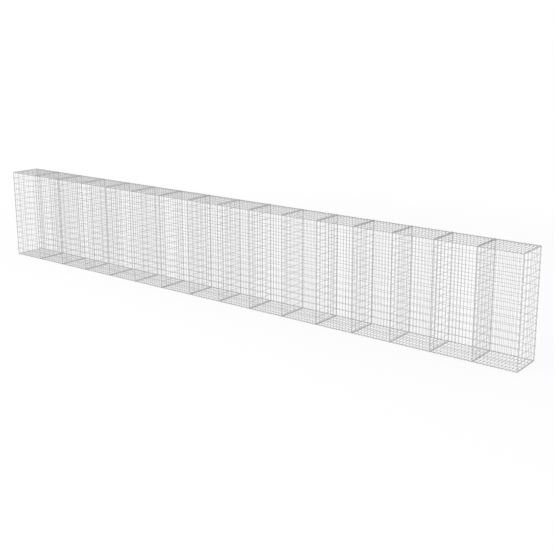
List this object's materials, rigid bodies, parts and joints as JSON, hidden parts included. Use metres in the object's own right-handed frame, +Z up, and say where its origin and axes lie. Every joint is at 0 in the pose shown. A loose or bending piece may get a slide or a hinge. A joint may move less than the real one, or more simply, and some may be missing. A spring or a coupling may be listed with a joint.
{
  "type": "gabion wall",
  "caption": "Long free-standing gabion wall of empty welded wire-mesh baskets in a straight row, with mesh partitions, bases, and a hinged mesh cover on each bay, all in galvanised wire.",
  "frame": {"origin": "middle of the wall's footprint, on the ground", "axes": "+X along the wall to the viewer's right, +Y from the front to the back, +Z up"},
  "size_m": [9.85, 0.515, 1.525],
  "materials": {
    "galvanised_wire": "dull zinc coating"
  },
  "bodies": {
    "baskets": {"front_panels_bays_1_2": "galvanised_wire", "back_panels_bays_1_2": "galvanised_wire", "front_panels_bays_3_4": "galvanised_wire", "back_panels_bays_3_4": "galvanised_wire", "front_panels_bays_5_6": "galvanised_wire", "back_panels_bays_5_6": "galvanised_wire", "front_panels_bays_7_8": "galvanised_wire", "back_panels_bays_7_8": "galvanised_wire", "front_panels_bays_9_10": "galvanised_wire", "back_panels_bays_9_10": "galvanised_wire", "front_panels_bays_11_12": "galvanised_wire", "back_panels_bays_11_12": "galvanised_wire", "front_panels_bays_13_14": "galvanised_wire", "back_panels_bays_13_14": "galvanised_wire", "front_panels_bays_15_16": "galvanised_wire", "back_panels_bays_15_16": "galvanised_wire", "bases_bays_1_4": "galvanised_wire", "bases_bays_5_8": "galvanised_wire", "bases_bays_9_12": "galvanised_wire", "bases_bays_13_16": "galvanised_wire", "partitions_1_to_4": "galvanised_wire", "partitions_5_to_8": "galvanised_wire", "partitions_9_to_12": "galvanised_wire", "partitions_13_to_15": "galvanised_wire", "left_end_panel": "galvanised_wire", "right_end_panel": "galvanised_wire"},
    "cover_1": {"cover_bay_1": "galvanised_wire"},
    "cover_2": {"cover_bay_2": "galvanised_wire"},
    "cover_3": {"cover_bay_3": "galvanised_wire"},
    "cover_4": {"cover_bay_4": "galvanised_wire"},
    "cover_5": {"cover_bay_5": "galvanised_wire"},
    "cover_6": {"cover_bay_6": "galvanised_wire"},
    "cover_7": {"cover_bay_7": "galvanised_wire"},
    "cover_8": {"cover_bay_8": "galvanised_wire"},
    "cover_9": {"cover_bay_9": "galvanised_wire"},
    "cover_10": {"cover_bay_10": "galvanised_wire"},
    "cover_11": {"cover_bay_11": "galvanised_wire"},
    "cover_12": {"cover_bay_12": "galvanised_wire"},
    "cover_13": {"cover_bay_13": "galvanised_wire"},
    "cover_14": {"cover_bay_14": "galvanised_wire"},
    "cover_15": {"cover_bay_15": "galvanised_wire"},
    "cover_16": {"cover_bay_16": "galvanised_wire"}
  },
  "joints": [
    {"name": "cover_1_hinge", "type": "hinge", "parent": "baskets", "child": "cover_1", "pos_m": [-4.6125, 0.2575, 1.515], "axis": [-1, 0, 0], "range_deg": [0, 110]},
    {"name": "cover_2_hinge", "type": "hinge", "parent": "baskets", "child": "cover_2", "pos_m": [-3.9975, 0.2575, 1.515], "axis": [-1, 0, 0], "range_deg": [0, 110]},
    {"name": "cover_3_hinge", "type": "hinge", "parent": "baskets", "child": "cover_3", "pos_m": [-3.3825, 0.2575, 1.515], "axis": [-1, 0, 0], "range_deg": [0, 110]},
    {"name": "cover_4_hinge", "type": "hinge", "parent": "baskets", "child": "cover_4", "pos_m": [-2.7675, 0.2575, 1.515], "axis": [-1, 0, 0], "range_deg": [0, 110]},
    {"name": "cover_5_hinge", "type": "hinge", "parent": "baskets", "child": "cover_5", "pos_m": [-2.1525, 0.2575, 1.515], "axis": [-1, 0, 0], "range_deg": [0, 110]},
    {"name": "cover_6_hinge", "type": "hinge", "parent": "baskets", "child": "cover_6", "pos_m": [-1.5375, 0.2575, 1.515], "axis": [-1, 0, 0], "range_deg": [0, 110]},
    {"name": "cover_7_hinge", "type": "hinge", "parent": "baskets", "child": "cover_7", "pos_m": [-0.9225, 0.2575, 1.515], "axis": [-1, 0, 0], "range_deg": [0, 110]},
    {"name": "cover_8_hinge", "type": "hinge", "parent": "baskets", "child": "cover_8", "pos_m": [-0.3075, 0.2575, 1.515], "axis": [-1, 0, 0], "range_deg": [0, 110]},
    {"name": "cover_9_hinge", "type": "hinge", "parent": "baskets", "child": "cover_9", "pos_m": [0.3075, 0.2575, 1.515], "axis": [-1, 0, 0], "range_deg": [0, 110]},
    {"name": "cover_10_hinge", "type": "hinge", "parent": "baskets", "child": "cover_10", "pos_m": [0.9225, 0.2575, 1.515], "axis": [-1, 0, 0], "range_deg": [0, 110]},
    {"name": "cover_11_hinge", "type": "hinge", "parent": "baskets", "child": "cover_11", "pos_m": [1.5375, 0.2575, 1.515], "axis": [-1, 0, 0], "range_deg": [0, 110]},
    {"name": "cover_12_hinge", "type": "hinge", "parent": "baskets", "child": "cover_12", "pos_m": [2.1525, 0.2575, 1.515], "axis": [-1, 0, 0], "range_deg": [0, 110]},
    {"name": "cover_13_hinge", "type": "hinge", "parent": "baskets", "child": "cover_13", "pos_m": [2.7675, 0.2575, 1.515], "axis": [-1, 0, 0], "range_deg": [0, 110]},
    {"name": "cover_14_hinge", "type": "hinge", "parent": "baskets", "child": "cover_14", "pos_m": [3.3825, 0.2575, 1.515], "axis": [-1, 0, 0], "range_deg": [0, 110]},
    {"name": "cover_15_hinge", "type": "hinge", "parent": "baskets", "child": "cover_15", "pos_m": [3.9975, 0.2575, 1.515], "axis": [-1, 0, 0], "range_deg": [0, 110]},
    {"name": "cover_16_hinge", "type": "hinge", "parent": "baskets", "child": "cover_16", "pos_m": [4.6125, 0.2575, 1.515], "axis": [-1, 0, 0], "range_deg": [0, 110]}
  ]
}
